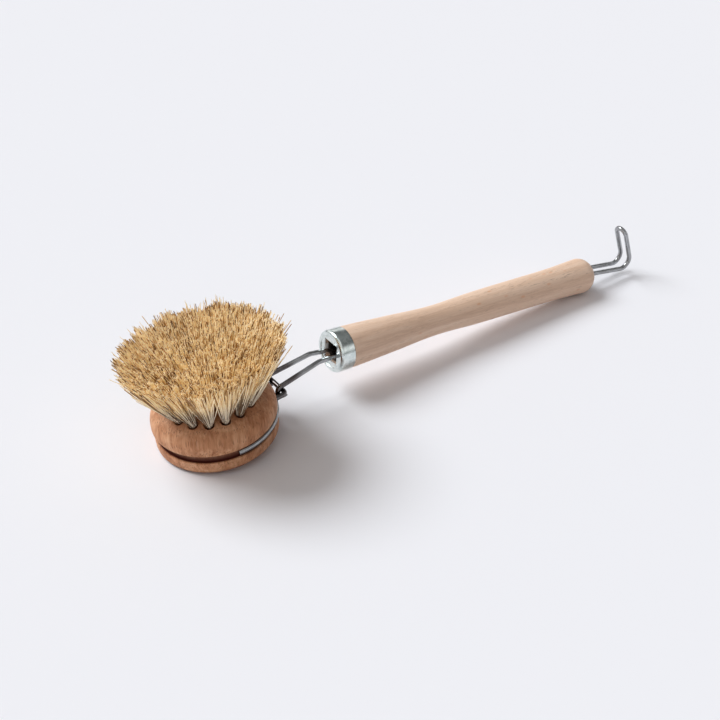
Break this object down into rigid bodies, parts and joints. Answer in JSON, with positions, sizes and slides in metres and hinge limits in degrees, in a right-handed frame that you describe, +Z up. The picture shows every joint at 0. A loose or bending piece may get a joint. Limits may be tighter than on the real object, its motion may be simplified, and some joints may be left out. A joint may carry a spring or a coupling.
{
  "type": "kitchen brush",
  "caption": "Round kitchen brush: turned wooden handle with a wire hanging hook, and a bristle head that tilts and turns in a spring-wire clip.",
  "frame": {"origin": "middle of the brush's length and width, on the surface that it lies on", "axes": "+X from the brush head to the hanging hook, +Y across, +Z up from the surface, bristles up"},
  "size_m": [0.2587, 0.0658, 0.0504],
  "materials": {
    "beech": "fine turned, lightly oiled",
    "head_beech": "fine turned, flecked, end grain darker",
    "zinc": "drawn sheet, zinc plated, satin",
    "steel_wire": "drawn wire, dull plated",
    "bristle": "natural fibre, cream roots and golden tips"
  },
  "bodies": {
    "handle": {"handle": "beech", "ferrule": "zinc", "handle_wire": "steel_wire"},
    "clip": {"head_clip": "steel_wire"},
    "head": {"head_block": "head_beech", "tuft_1_01": "bristle", "tuft_1_02": "bristle", "tuft_1_03": "bristle", "tuft_1_04": "bristle", "tuft_1_05": "bristle", "tuft_1_06": "bristle", "tuft_1_07": "bristle", "tuft_1_08": "bristle", "tuft_1_09": "bristle", "tuft_1_10": "bristle", "tuft_1_11": "bristle", "tuft_1_12": "bristle", "tuft_1_13": "bristle", "tuft_1_14": "bristle", "tuft_1_15": "bristle", "tuft_1_16": "bristle", "tuft_1_17": "bristle", "tuft_2_01": "bristle", "tuft_2_02": "bristle", "tuft_2_03": "bristle", "tuft_2_04": "bristle", "tuft_2_05": "bristle", "tuft_2_06": "bristle", "tuft_2_07": "bristle", "tuft_2_08": "bristle", "tuft_2_09": "bristle", "tuft_2_10": "bristle", "tuft_2_11": "bristle", "tuft_3_01": "bristle", "tuft_3_02": "bristle", "tuft_3_03": "bristle", "tuft_3_04": "bristle", "tuft_3_05": "bristle", "tuft_4_01": "bristle"}
  },
  "joints": [
    {"name": "head_tilt", "type": "hinge", "parent": "handle", "child": "clip", "pos_m": [-0.06362, 0, 0.01407], "axis": [0, 1, 0], "range_deg": [-60, 50]},
    {"name": "head_spin", "type": "hinge", "parent": "clip", "child": "head", "pos_m": [-0.0912, 0, 0.00274], "axis": [-0.1219, 0, 0.9925], "continuous": true}
  ]
}
